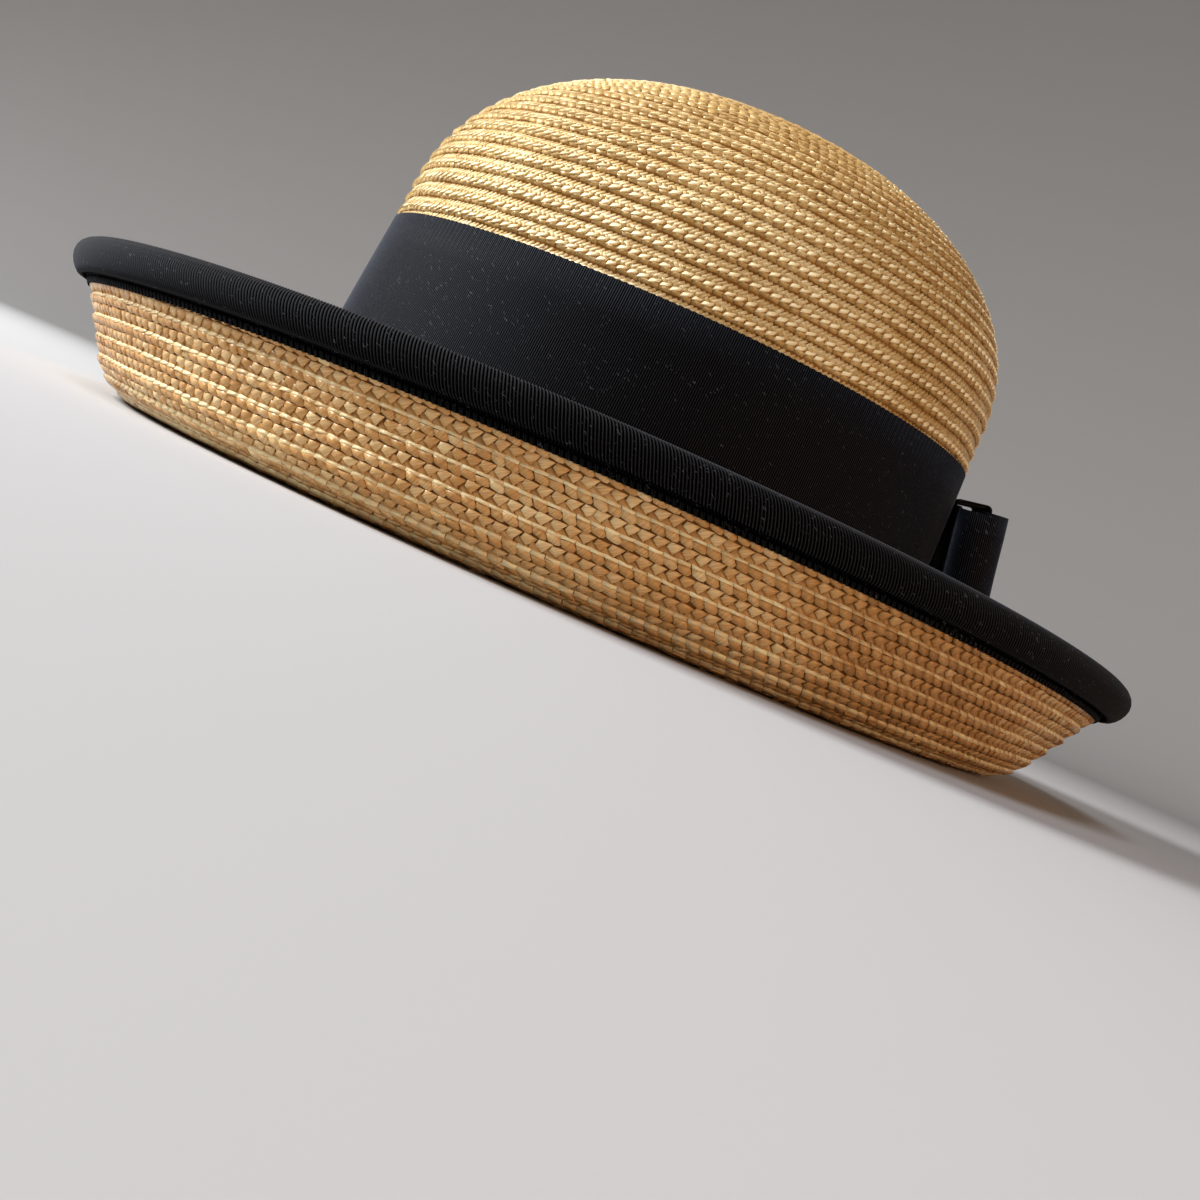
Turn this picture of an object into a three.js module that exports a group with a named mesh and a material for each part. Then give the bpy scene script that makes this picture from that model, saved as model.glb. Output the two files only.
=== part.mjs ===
// A woman's straw hat: a domed crown and a brim turned up all round, both sewn from flat straw braid,
// with a wide ribbon round the crown, a ribbon bound over the brim's edge, and a ribbon bow at the back.
// Millimetres. +X is the wearer's left, -Y the front, +Z up. The hat stands on the fold of its brim at z = 0,
// and the origin is the middle of its outline there.

import * as THREE from "three";
import { ParametricGeometry } from "three/addons/geometries/ParametricGeometry.js";

// Walls, and the gap left where one piece touches the next.
const STRAW = 2;
const RIBBON = 1;
const GAP = 0.3;

// The crown: an oval wall that widens downwards, under half of a flattened ball.
const CROWN = {
  foot: 30.3,
  shoulder: 95.7,
  domeHeight: 64.9,
  halfWidth: 81.9,
  extraHalfLength: 17.7,
  flare: 0.067,
  backwards: 1.54,
  lean: 0.045,
  leanFrom: 40,
  tipTaper: 0.45,
};

// The brim's underside in section: it leaves the crown's foot, rolls out to the fold it stands on,
// turns up round the roll and runs straight to its edge.
const BRIM = {
  root: 30,
  rootDrop: 14,
  foldPull: 20,
  restWidth: 2,
  roll: 15.2,
};

// How far out the fold lies, how steeply the brim is turned up there, and how wide it is from its fold up.
const BRIM_PLAN = {
  front: { foldOut: 43.9, slope: 61, turnedUp: 46.2 },
  back: { foldOut: 38.3, slope: 56, turnedUp: 48.5 },
  side: { foldOut: 40.6, slope: 83.7, turnedUp: 48.5 },
};

// The wide ribbon round the crown.
const BAND = { bottom: 33, top: 83 };

// The bow hangs on the back of the band from its top, tilted out at its foot. A loop droops away from the knot.
const BOW = { top: 77, tilt: 11, height: 37.5, below: 0.9, droop: 0.1 };

// The middle of a loop's ribbon seen from above: sideways from the middle of the bow, and out from the band.
const LOOP_LINE = [
  { sideways: 0.7, out: 2.3 },
  { sideways: 9, out: 2.3 },
  { sideways: 20, out: -0.8 },
  { sideways: 34, out: -5.2 },
  { sideways: 42.5, out: -4.6 },
  { sideways: 44.5, out: 1 },
  { sideways: 40, out: 6.9 },
  { sideways: 32, out: 10.2 },
  { sideways: 20, out: 11.5 },
  { sideways: 9, out: 11.5 },
  { sideways: 0.7, out: 11.4 },
];

// The ribbon wrapped round the middle of the bow.
const KNOT = { inner: 0.5, outer: 13.6, top: 0.6, bottom: -40.6, corner: 1.5, width: 18 };

// The bound edge in section. Each row is a point of the ribbon: out from the brim's underside, along it
// past the straw's edge, and the ribbon's wall there, which is taken off towards the straw.
const BINDING_SECTION = [
  { out: 1.2, along: -9, wallOut: -0.9, wallAlong: 0 },
  { out: 1.3, along: -6.3, wallOut: -0.9, wallAlong: 0 },
  { out: 3.5, along: -5.2, wallOut: -0.9, wallAlong: 0.8 },
  { out: 4.5, along: -2.6, wallOut: -1, wallAlong: 0.2 },
  { out: 4, along: 0.4, wallOut: -0.9, wallAlong: -0.4 },
  { out: 2.1, along: 2.5, wallOut: -0.6, wallAlong: -0.9 },
  { out: -0.8, along: 3, wallOut: 0.1, wallAlong: -1 },
  { out: -3, along: 1.5, wallOut: 0.7, wallAlong: -0.7 },
  { out: -3.8, along: -1.4, wallOut: 1, wallAlong: -0.2 },
  { out: -3.4, along: -8.5, wallOut: 1, wallAlong: 0 },
];

// How finely the curved walls are divided.
const SIDES = 56;
const DOME_STEPS = 8;
const BRIM_STEPS = { root: 4, roll: 4, wall: 3 };
const LINE_PARTS = 2;
const CORNER_PARTS = 4;

const straw = new THREE.MeshStandardMaterial({ color: 0xd6a863, roughness: 0.5, metalness: 0 });
const braid = new THREE.MeshStandardMaterial({ color: 0xc39552, roughness: 0.5, metalness: 0 });
const ribbon = new THREE.MeshStandardMaterial({ color: 0x1c1d24, roughness: 0.8, metalness: 0 });
const binding = new THREE.MeshStandardMaterial({ color: 0x14151a, roughness: 0.85, metalness: 0 });

/** The y of the crown's centre at a height. */
function crownCentre(z) {
  return CROWN.backwards + CROWN.lean * (z - CROWN.leanFrom);
}

/** The crown's oval at a height of its straight wall, moved in from its outer face by inset. */
function wallOval(z, inset) {
  const halfWidth = CROWN.halfWidth + CROWN.flare * (CROWN.shoulder - z) - inset;
  return { z, halfWidth, halfLength: halfWidth + CROWN.extraHalfLength };
}

/** The crown's oval at an angle up its dome, from 0 at the shoulder to a quarter turn at the tip. */
function domeOval(angle, inset) {
  const rise = Math.sin(angle);
  const halfWidth = (CROWN.halfWidth - inset) * Math.cos(angle);
  const extra = CROWN.extraHalfLength * (1 - CROWN.tipTaper * rise ** 4);
  return { z: CROWN.shoulder + (CROWN.domeHeight - inset) * rise, halfWidth, halfLength: halfWidth + extra };
}

/** Puts the point of an oval at an angle round the hat into target. */
function placeOnOval(angle, oval, target) {
  const y = crownCentre(oval.z) + oval.halfLength * Math.sin(angle);
  target.set(oval.halfWidth * Math.cos(angle), y, oval.z);
}

/** The point a distance out from the crown's foot, square to its oval, at an angle round the hat. */
function placeOutside(angle, out, up, target) {
  const foot = wallOval(BRIM.root, 0);
  const across = new THREE.Vector2(Math.cos(angle) / foot.halfWidth, Math.sin(angle) / foot.halfLength);
  across.normalize();
  const x = foot.halfWidth * Math.cos(angle) + out * across.x;
  const y = crownCentre(BRIM.root) + foot.halfLength * Math.sin(angle) + out * across.y;
  target.set(x, y, up);
}

/** A value of BRIM_PLAN at an angle round the hat, between the side's and the front's or back's. */
function planValue(angle, name) {
  const end = Math.sin(angle) < 0 ? BRIM_PLAN.front : BRIM_PLAN.back;
  const share = Math.sin(angle) ** 2;
  return end[name] * share + BRIM_PLAN.side[name] * (1 - share);
}

/** The brim's underside before its fold: part runs from 0 at the crown's foot to 1 at the fold. */
function brimRoot(angle, part) {
  const foldOut = planValue(angle, "foldOut") - BRIM.restWidth;
  const curve = new THREE.CubicBezierCurve(
    new THREE.Vector2(-STRAW, BRIM.root),
    new THREE.Vector2(-STRAW, BRIM.root - BRIM.rootDrop),
    new THREE.Vector2(foldOut - BRIM.foldPull, 0),
    new THREE.Vector2(foldOut, 0),
  );
  return { point: curve.getPoint(part), way: curve.getTangent(part) };
}

/** The brim's underside past its fold, at a distance along it. */
function brimTurn(angle, run) {
  const slope = THREE.MathUtils.degToRad(planValue(angle, "slope"));
  const turned = Math.min(run / BRIM.roll, slope);
  const straight = run - turned * BRIM.roll;
  const way = new THREE.Vector2(Math.cos(turned), Math.sin(turned));
  const out = planValue(angle, "foldOut") + BRIM.roll * Math.sin(turned) + straight * way.x;
  const up = BRIM.roll * (1 - Math.cos(turned)) + straight * way.y;
  return { point: new THREE.Vector2(out, up), way };
}

/** Puts a point of the brim's wall, a depth in from its underside, into target. */
function placeOnBrim(angle, station, target) {
  const rollEnd = BRIM.roll * THREE.MathUtils.degToRad(planValue(angle, "slope"));
  const turnedUp = planValue(angle, "turnedUp");
  const stretches = {
    root: () => brimRoot(angle, station.share),
    roll: () => brimTurn(angle, rollEnd * station.share),
    wall: () => brimTurn(angle, rollEnd + (turnedUp - rollEnd) * station.share),
  };
  const { point, way } = stretches[station.stretch]();
  placeOutside(angle, point.x - way.y * station.depth, point.y + way.x * station.depth, target);
}

/** Puts a point of the bound edge into target. */
function placeOnBinding(angle, station, target) {
  const { point, way } = brimTurn(angle, planValue(angle, "turnedUp"));
  const out = point.x + way.x * station.along + way.y * station.out;
  const up = point.y + way.y * station.along - way.x * station.out;
  placeOutside(angle, out, up, target);
}

/** A wall swept round the hat: stations are the points of its section, and place puts one at an angle. */
function sweep(stations, place, closed) {
  const stacks = closed ? stations.length : stations.length - 1;
  const surface = (u, v, target) => {
    const station = stations[Math.round(v * stacks) % stations.length];
    place(2 * Math.PI * (1 - u), station, target);
  };
  return new ParametricGeometry(surface, SIDES, stacks);
}

/** The crown's straw wall: up the inside to the tip, and down the outside from it. */
function crownGeometry() {
  const faces = [0, STRAW].map((inset) => {
    const dome = Array.from({ length: DOME_STEPS }, (_, i) =>
      domeOval(((DOME_STEPS - i) / DOME_STEPS) * (Math.PI / 2), inset),
    );
    return [...dome, wallOval(CROWN.shoulder, inset), wallOval(CROWN.foot, inset)];
  });
  return sweep([...faces[0], ...faces[1].reverse()], placeOnOval, false);
}

/** The brim's straw wall: along its underside from the crown to its edge, and back on the other face. */
function brimGeometry() {
  const face = (depth) =>
    Object.entries(BRIM_STEPS).flatMap(([stretch, steps]) =>
      Array.from({ length: steps + 1 }, (_, i) => ({ stretch, share: i / steps, depth })).filter(
        (station) => stretch !== "wall" || station.share > 0,
      ),
    );
  return sweep([...face(STRAW), ...face(0).reverse()], placeOnBrim, true);
}

/** The ribbon round the crown. */
function bandGeometry() {
  const outer = -GAP - RIBBON;
  const corners = [
    wallOval(BAND.top, outer),
    wallOval(BAND.bottom, outer),
    wallOval(BAND.bottom, -GAP),
    wallOval(BAND.top, -GAP),
  ];
  return sweep(corners, placeOnOval, true);
}

/** The ribbon bound over the brim's edge. */
function bindingGeometry() {
  const inside = BINDING_SECTION.map((row) => ({
    out: row.out + row.wallOut,
    along: row.along + row.wallAlong,
  }));
  return sweep([...inside, ...[...BINDING_SECTION].reverse()], placeOnBinding, true);
}

/** The y of the band's outer face at the middle of the back. */
function bandBack(z) {
  return crownCentre(z) + wallOval(z, -GAP - RIBBON).halfLength;
}

/** A ribbon seen on its edge: half its wall on each side of a smooth line through points. */
function ribbonOutline(points) {
  const line = new THREE.SplineCurve(points);
  const parts = LINE_PARTS * (points.length - 1);
  const face = (side) =>
    line.getPoints(parts).map((point, i) => {
      const way = line.getTangent(i / parts);
      const half = (side * RIBBON) / 2;
      return new THREE.Vector2(point.x - way.y * half, point.y + way.x * half);
    });
  return new THREE.Shape([...face(1), ...face(-1).reverse()]);
}

/** A loop of the bow from its foot up; side is 1 on the wearer's left and -1 on the right. */
function loopGeometry(side) {
  const line = LOOP_LINE.map((row) => new THREE.Vector2(side * row.sideways, row.out));
  const options = { depth: BOW.height, steps: 1, bevelEnabled: false };
  const geometry = new THREE.ExtrudeGeometry(ribbonOutline(side < 0 ? line.reverse() : line), options);
  const places = geometry.attributes.position;
  for (let i = 0; i < places.count; i += 1) {
    places.setZ(i, places.getZ(i) - BOW.droop * Math.abs(places.getX(i)));
  }
  return geometry;
}

/** The ribbon wrapped round the middle of the bow: its outline from the side, run across its width. */
function knotGeometry() {
  const rounded = (inset) => {
    const { inner, outer, bottom, top } = KNOT;
    const corner = KNOT.corner - inset;
    const rightAngle = Math.PI / 2;
    const corners = [
      new THREE.Vector2(outer - KNOT.corner, bottom + KNOT.corner),
      new THREE.Vector2(outer - KNOT.corner, top - KNOT.corner),
      new THREE.Vector2(inner + KNOT.corner, top - KNOT.corner),
      new THREE.Vector2(inner + KNOT.corner, bottom + KNOT.corner),
    ];
    const path = new THREE.Path();
    corners.forEach((centre, i) => {
      path.absarc(centre.x, centre.y, corner, (i - 1) * rightAngle, i * rightAngle, false);
    });
    return path;
  };
  const outline = new THREE.Shape(rounded(0).getPoints(CORNER_PARTS));
  outline.holes.push(new THREE.Path(rounded(RIBBON).getPoints(CORNER_PARTS)));
  const options = { depth: KNOT.width, steps: 1, bevelEnabled: false };
  return new THREE.ExtrudeGeometry(outline, options).translate(0, 0, -KNOT.width / 2);
}

const hat = new THREE.Group();

/** Adds a named piece to a group. */
function add(group, name, geometry, material) {
  const mesh = new THREE.Mesh(geometry, material);
  mesh.name = name;
  group.add(mesh);
  return mesh;
}

add(hat, "crown", crownGeometry(), straw);
add(hat, "brim", brimGeometry(), braid);
add(hat, "hat_band", bandGeometry(), ribbon);
add(hat, "brim_binding", bindingGeometry(), binding);

const bow = new THREE.Group();
bow.position.set(0, bandBack(BOW.top), BOW.top);
bow.rotation.x = THREE.MathUtils.degToRad(BOW.tilt);
hat.add(bow);
const loops = { bow_loop_left: 1, bow_loop_right: -1 };
for (const [name, side] of Object.entries(loops)) {
  add(bow, name, loopGeometry(side), ribbon).position.z = -BOW.below - BOW.height;
}
const quarter = Math.PI / 2;
add(bow, "bow_knot", knotGeometry(), ribbon).rotation.set(quarter, 0, quarter, "ZYX");

export default hat;
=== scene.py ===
"""A woman's straw hat: sewn straw braid, a ribbon round the crown, a bound edge and a bow at the back.

The crown and the brim are closed shells in the steps that sewn rows of braid make, and the straws that show
on them are joined meshes of small raised pieces. The ribbons are ribbed strips. Metres, in the CAD's frame:
+X is the wearer's left, -Y the front, +Z up, and the hat stands on the fold of its brim.
"""

import logging
import math
from dataclasses import dataclass, fields, replace
from enum import Enum

import bmesh
import bpy
import numpy as np
from mathutils import Matrix, Vector

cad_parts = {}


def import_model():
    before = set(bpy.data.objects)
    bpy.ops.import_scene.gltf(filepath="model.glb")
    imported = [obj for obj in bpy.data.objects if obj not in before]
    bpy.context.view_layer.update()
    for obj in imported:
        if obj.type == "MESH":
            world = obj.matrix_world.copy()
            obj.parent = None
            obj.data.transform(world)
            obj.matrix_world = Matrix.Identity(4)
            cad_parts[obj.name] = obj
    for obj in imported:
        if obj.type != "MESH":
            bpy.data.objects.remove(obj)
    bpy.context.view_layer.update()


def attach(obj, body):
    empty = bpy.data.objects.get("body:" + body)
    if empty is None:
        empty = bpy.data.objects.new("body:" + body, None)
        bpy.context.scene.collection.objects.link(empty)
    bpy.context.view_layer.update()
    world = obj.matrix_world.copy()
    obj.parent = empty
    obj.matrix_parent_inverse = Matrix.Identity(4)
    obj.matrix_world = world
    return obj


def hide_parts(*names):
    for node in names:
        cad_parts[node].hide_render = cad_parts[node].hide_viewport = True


MM = 0.001
TURN = 2 * math.pi
STRAW_WALL = 2 * MM
RIBBON_WALL = 1 * MM
GAP = 0.3 * MM

logger = logging.getLogger("hat")


def linear(colour: str) -> tuple[float, float, float, float]:
    """Turns an sRGB hex colour to linear light.

    Args:
        colour: six hex digits.

    Returns:
        Red, green, blue and an alpha of 1.
    """
    shares = [int(colour[i : i + 2], 16) / 255 for i in (0, 2, 4)]
    return (*(s / 12.92 if s <= 0.04045 else ((s + 0.055) / 1.055) ** 2.4 for s in shares), 1.0)


def add_node(
    tree: bpy.types.NodeTree, kind: str, settings: dict | None = None, links: dict | None = None
) -> bpy.types.Node:
    """Adds one node to a tree.

    Args:
        tree: the node tree.
        kind: the node's type name, without the ShaderNode that it starts with.
        settings: values by name. A capital or a number names a socket, anything else a property.
        links: the socket that feeds each of the node's own sockets, by name or number.

    Returns:
        The node.
    """
    node = tree.nodes.new(f"ShaderNode{kind}")
    for name, value in (settings or {}).items():
        if isinstance(name, int) or name[0].isupper():
            node.inputs[name].default_value = value
        else:
            setattr(node, name, value)
    for name, socket in (links or {}).items():
        tree.links.new(socket, node.inputs[name])
    return node


def ramp(
    tree: bpy.types.NodeTree, factor: bpy.types.NodeSocket, stops: dict[float, str]
) -> bpy.types.NodeSocket:
    """Turns a number to a colour between stops.

    Args:
        tree: the node tree.
        factor: the number, from 0 to 1.
        stops: sRGB hex colours by their place.

    Returns:
        The colour's socket.
    """
    node = add_node(tree, "ValToRGB", links={"Fac": factor})
    band = node.color_ramp
    while len(band.elements) < len(stops):
        band.elements.new(0.5)
    for element, (place, colour) in zip(band.elements, sorted(stops.items())):
        element.position = place
        element.color = linear(colour)
    return node.outputs["Color"]


def new_material(name: str, settings: dict) -> tuple[bpy.types.Material, bpy.types.NodeTree, bpy.types.Node]:
    """Starts a material.

    Args:
        name: its name.
        settings: what is the same all over it: the values of its shader's sockets, by name.

    Returns:
        The material, its node tree and its shader.
    """
    made = bpy.data.materials.new(name)
    made.use_nodes = True
    shader = made.node_tree.nodes["Principled BSDF"]
    for socket, value in settings.items():
        shader.inputs[socket].default_value = value
    return made, made.node_tree, shader


@dataclass(frozen=True)
class StrawFinish:
    """Bleached wheat straw, split, flattened and plaited.

    Its outer skin is waxy, so it gives a clear soft-edged highlight, and its fibres run along the strand.

    Attributes:
        name: the material's name.
        dark, middle, pale: its colours by tone.
        roughness, coat: those of its skin.
        fibre, streak: how wide and how long a fibre's streak is.
        streaked: how much of the tone the streaks make.
        blotch: the size of the patches that faded together.
        faded: how much of the tone they make.
    """

    name: str
    dark: str
    middle: str
    pale: str
    roughness: float = 0.4
    coat: float = 0.3
    fibre: float = 0.3 * MM  # real fibres are about 0.1 mm apart, drawn this coarse so that they show
    streak: float = 6 * MM
    streaked: float = 0.6
    blotch: float = 45 * MM
    faded: float = 0.5

    def material(self) -> bpy.types.Material:
        """Builds the straw's material from its fibres, each strand's own tone and the hat's slow fading.

        Returns:
            The material.
        """
        skin = {"Roughness": self.roughness, "IOR": 1.5, "Specular Tint": linear("ffecbe")}
        coat = {"Coat Weight": self.coat, "Coat Roughness": 0.25}
        made, tree, shader = new_material(self.name, {**skin, **coat})
        strand = add_node(tree, "UVMap", {"uv_map": "strand"}).outputs["UV"]
        scale = (1 / self.streak, 1 / self.fibre, 1.0)
        fibres = add_node(tree, "Mapping", {"Scale": scale}, {"Vector": strand}).outputs["Vector"]
        fine = {"Scale": 1.0, "Detail": 2.0, "Roughness": 0.6}
        streaks = add_node(tree, "TexNoise", fine, {"Vector": fibres}).outputs["Fac"]
        place = add_node(tree, "TexCoord").outputs["Object"]
        slow = {"Scale": 1 / self.blotch, "Detail": 2.0}
        fading = add_node(tree, "TexNoise", slow, {"Vector": place}).outputs["Fac"]
        tone = add_node(tree, "Attribute", {"attribute_name": "tone"}).outputs["Fac"]
        for part, weight in ((streaks, self.streaked), (fading, self.faded)):
            centred = add_node(tree, "Math", {"operation": "SUBTRACT", 1: 0.5}, {0: part}).outputs[0]
            added = {"operation": "MULTIPLY_ADD", 1: weight}
            tone = add_node(tree, "Math", added, {0: centred, 2: tone}).outputs[0]
        colour = ramp(tree, tone, {0.0: self.dark, 0.5: self.middle, 1.0: self.pale})
        tree.links.new(colour, shader.inputs["Base Color"])
        bump = add_node(tree, "Bump", {"Strength": 0.7, "Distance": 0.07 * MM}, {"Height": streaks})
        tree.links.new(bump.outputs["Normal"], shader.inputs["Normal"])
        return made


@dataclass(frozen=True)
class RibbonFinish:
    """Ribbed rayon and cotton ribbon, dyed black.

    The threads scatter light all ways with a grey-blue sheen at a grazing angle, and lint clings to it.

    Attributes:
        name: the material's name.
        dark, light: its colours between the ribs and on them; the grooves' darkness is partly painted shade,
            partly the ribs' backs worn lighter.
        lint: the lint's colour.
        thread: how far apart its threads are.
        patch: the size of the patches where it is worn and linty.
        fleck, slim, slant: a fleck of lint's length, its width as a share of that, and how it lies.
        rare: how few flecks there are.
        faint: how much of the lint's colour a fleck takes.
        gloss, sheen, roughness: those of the backs of the ribs.
    """

    name: str
    dark: str
    light: str
    lint: str = "7b808a"
    thread: float = 0.35 * MM  # real threads are about 0.2 mm apart, drawn this coarse so that they show
    patch: float = 33.3 * MM
    fleck: float = 2.2 * MM
    slim: float = 0.12
    slant: float = -0.6
    rare: float = 7.0
    faint: float = 0.24
    gloss: float = 0.3
    sheen: float = 0.6
    roughness: float = 0.72

    def material(self) -> bpy.types.Material:
        """Builds the ribbon's material from its threads, its wear and its lint.

        Returns:
            The material. Its ribs' backs are lighter and glossier than the grooves, by their tone: partly
            wear, partly painted shade in the grooves.
        """
        even = {"Roughness": self.roughness, "Sheen Roughness": 0.45, "Sheen Tint": linear("a9b6d2")}
        made, tree, shader = new_material(self.name, even)
        flat = add_node(tree, "UVMap", {"uv_map": "strand"}).outputs["UV"]
        fine = {"Scale": 1 / self.thread, "Detail": 1.0, "noise_dimensions": "2D"}
        threads = add_node(tree, "TexNoise", fine, {"Vector": flat}).outputs["Fac"]
        place = add_node(tree, "TexCoord").outputs["Object"]
        slow = {"Scale": 1 / self.patch, "Detail": 3.0}
        wear = add_node(tree, "TexNoise", slow, {"Vector": place}).outputs["Fac"]
        worn = add_node(tree, "Math", {"operation": "MULTIPLY"}, {0: threads, 1: wear}).outputs[0]
        rib = add_node(tree, "Attribute", {"attribute_name": "tone"}).outputs["Fac"]
        # Painted shade: the tone falls from the ribs' backs into the grooves between them, besides the
        # backs' wear.
        tone = add_node(tree, "Math", {"operation": "MULTIPLY_ADD", 1: 0.6}, {0: worn, 2: rib}).outputs[0]
        cloth = ramp(tree, tone, {0.4: self.dark, 1.0: self.light})
        back = add_node(tree, "Math", {"operation": "POWER", 1: 3.0}, {0: rib}).outputs[0]
        for name, most in (("Specular IOR Level", self.gloss), ("Sheen Weight", self.sheen)):
            part = add_node(tree, "Math", {"operation": "MULTIPLY", 1: most}, {0: back}).outputs[0]
            tree.links.new(part, shader.inputs[name])
        fleck = self.flecks(tree, flat, wear)
        lint = add_node(tree, "Math", {"operation": "MULTIPLY", 1: self.faint}, {0: fleck}).outputs[0]
        over = {"data_type": "RGBA", 7: linear(self.lint)}
        mix = add_node(tree, "Mix", over, {"Factor": lint, 6: cloth})
        tree.links.new(mix.outputs[2], shader.inputs["Base Color"])
        bump = add_node(tree, "Bump", {"Strength": 0.4, "Distance": 0.08 * MM}, {"Height": threads})
        tree.links.new(bump.outputs["Normal"], shader.inputs["Normal"])
        return made

    def flecks(
        self, tree: bpy.types.NodeTree, flat: bpy.types.NodeSocket, wear: bpy.types.NodeSocket
    ) -> bpy.types.NodeSocket:
        """Adds the nodes that place the flecks of lint.

        Args:
            tree: the node tree.
            flat: the place on the ribbon.
            wear: how worn it is there.

        Returns:
            1 on a fleck and 0 off it: the middles of stretched cells, bent by a noise of half a fleck, whose
            size is the wear times a high power of a random number, so that only a few show.
        """
        wide = {"Scale": 2 / self.fleck, "noise_dimensions": "2D"}
        curl = add_node(tree, "TexNoise", wide, {"Vector": flat}).outputs["Color"]
        bent = {"operation": "MULTIPLY_ADD", 1: (0.5 * self.fleck,) * 3}
        curled = add_node(tree, "VectorMath", bent, {0: curl, 2: flat}).outputs["Vector"]
        size = (self.fleck, self.slim * self.fleck, 1)
        drawn = {"vector_type": "TEXTURE", "Rotation": (0, 0, self.slant), "Scale": size}
        laid_out = add_node(tree, "Mapping", drawn, {"Vector": curled}).outputs["Vector"]
        plain = {"voronoi_dimensions": "2D", "Scale": 1.0}
        cells = add_node(tree, "TexVoronoi", plain, {"Vector": laid_out}).outputs
        rare = {"operation": "POWER", 1: self.rare}
        share = add_node(tree, "Math", rare, {0: cells["Color"]}).outputs[0]
        reach = add_node(tree, "Math", {"operation": "MULTIPLY"}, {0: share, 1: wear}).outputs[0]
        links = {0: cells["Distance"], 1: reach}
        return add_node(tree, "Math", {"operation": "LESS_THAN"}, links).outputs[0]


@dataclass(frozen=True)
class PaperFinish:
    """Matt seamless background paper: it scatters light evenly and shows no gloss."""

    name: str = "background_paper"
    colour: str = "b7b7b7"

    def material(self) -> bpy.types.Material:
        """Builds the paper's material."""
        settings = {"Base Color": linear(self.colour), "Roughness": 0.95, "Specular IOR Level": 0.1}
        return new_material(self.name, settings)[0]


@dataclass
class Surface:
    """A mesh as arrays: its points, its faces' corners one after another, and what its finish reads.

    Attributes:
        points: one row for each point.
        corners: the point of each face's corners.
        sizes: how many corners each face has.
        strand: each point's place on its straw or ribbon, along and across, in metres.
        tone: each point's shade, from 0 to 1.
        smooth: whether each face is shaded smoothly.
    """

    points: np.ndarray
    corners: np.ndarray
    sizes: np.ndarray
    strand: np.ndarray
    tone: np.ndarray
    smooth: np.ndarray

    @staticmethod
    def joined(parts: list["Surface"]) -> "Surface":
        """Joins surfaces to one.

        Args:
            parts: the surfaces.

        Returns:
            All of them, with each part's corners moved past the points before it.
        """
        starts = np.cumsum([0] + [len(part.points) for part in parts[:-1]])
        moved = [replace(part, corners=part.corners + start) for part, start in zip(parts, starts)]
        kinds = [kind.name for kind in fields(Surface)]
        return Surface(*(np.concatenate([getattr(part, kind) for part in moved]) for kind in kinds))

    def triangles(self) -> int:
        """How many triangles the faces make."""
        return int((self.sizes - 2).sum())

    def make(self, name: str, material: bpy.types.Material) -> bpy.types.Object:
        """Puts the arrays into a mesh object.

        Args:
            name: the object's name.
            material: its finish.

        Returns:
            The object, at the origin.
        """
        mesh = bpy.data.meshes.new(name)
        mesh.vertices.add(len(self.points))
        mesh.vertices.foreach_set("co", self.points.astype(np.float32).ravel())
        mesh.loops.add(len(self.corners))
        mesh.loops.foreach_set("vertex_index", self.corners.astype(np.int32))
        mesh.polygons.add(len(self.sizes))
        starts = np.concatenate([[0], np.cumsum(self.sizes)[:-1]])
        mesh.polygons.foreach_set("loop_start", starts.astype(np.int32))
        mesh.polygons.foreach_set("use_smooth", self.smooth)
        layer = mesh.uv_layers.new(name="strand")
        layer.data.foreach_set("uv", self.strand[self.corners].astype(np.float32).ravel())
        mesh.attributes.new("tone", "FLOAT", "POINT").data.foreach_set("value", self.tone.astype(np.float32))
        mesh.materials.append(material)
        mesh.update(calc_edges=True)
        made = bpy.data.objects.new(name, mesh)
        bpy.context.collection.objects.link(made)
        logger.info("%s: %d triangles", name, self.triangles())
        return made


def signed_volume(points: np.ndarray, face: np.ndarray) -> float:
    """The volume under faces of one size, seen from the middle of all points.

    Args:
        points: one row for each point.
        face: one row of corners for each face.

    Returns:
        A sixth of the sum of each fan triangle's triple product, above zero if the faces point outwards.
    """
    base = points.mean(axis=tuple(range(points.ndim - 1)))
    fan = points[face] - base
    total = 0.0
    for i in range(1, face.shape[1] - 1):
        total += np.einsum("ij,ij->", fan[:, 0], np.cross(fan[:, i], fan[:, i + 1]))
    return total / 6


def grid_quads(columns: int, rows: int, gaps: tuple[int, int]) -> np.ndarray:
    """The faces of a grid of points, by column, then by row.

    Args:
        columns: how many columns there are.
        rows: how many points each has.
        gaps: how many gaps between columns and between rows are filled; a gap past the last one leads back
            to the first.

    Returns:
        One row of four corners for each face.
    """
    i, j = np.arange(gaps[0])[:, None], np.arange(gaps[1])[None, :]
    across, up = (i + 1) % columns, (j + 1) % rows
    return np.stack([i * rows + j, across * rows + j, across * rows + up, i * rows + up], -1).reshape(-1, 4)


def closed_grid(points: np.ndarray, strand: np.ndarray, tone: np.ndarray, ends: bool = False) -> Surface:
    """A closed surface on a grid whose rows wrap round, and whose columns do too unless it has ends.

    Args:
        points: points by column, then by row, which goes round the section.
        strand: each point's place on its strip, along and across.
        tone: the shade, by column and row.
        ends: True for a strip that ends at its first and last column, each closed by one face.

    Returns:
        The surface, its faces turned outwards by the sign of its volume.
    """
    columns, rows = points.shape[:2]
    quads = grid_quads(columns, rows, (columns - 1 if ends else columns, rows))
    flat = points.reshape(-1, 3)
    flipped = signed_volume(flat, quads) < 0
    if flipped:
        quads = quads[:, ::-1]
    corners, sizes = quads.ravel(), np.full(len(quads), 4)
    if ends:
        first, last = np.arange(rows), (columns - 1) * rows + np.arange(rows)
        caps = [first[::-1], last] if flipped else [first, last[::-1]]
        corners = np.concatenate([corners, *caps])
        sizes = np.concatenate([sizes, [rows, rows]])
    smooth = np.arange(len(sizes)) < len(quads)
    tone = np.broadcast_to(tone, (columns, rows)).ravel()
    return Surface(flat, corners, sizes, strand.reshape(-1, 2), tone, smooth)


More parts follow.
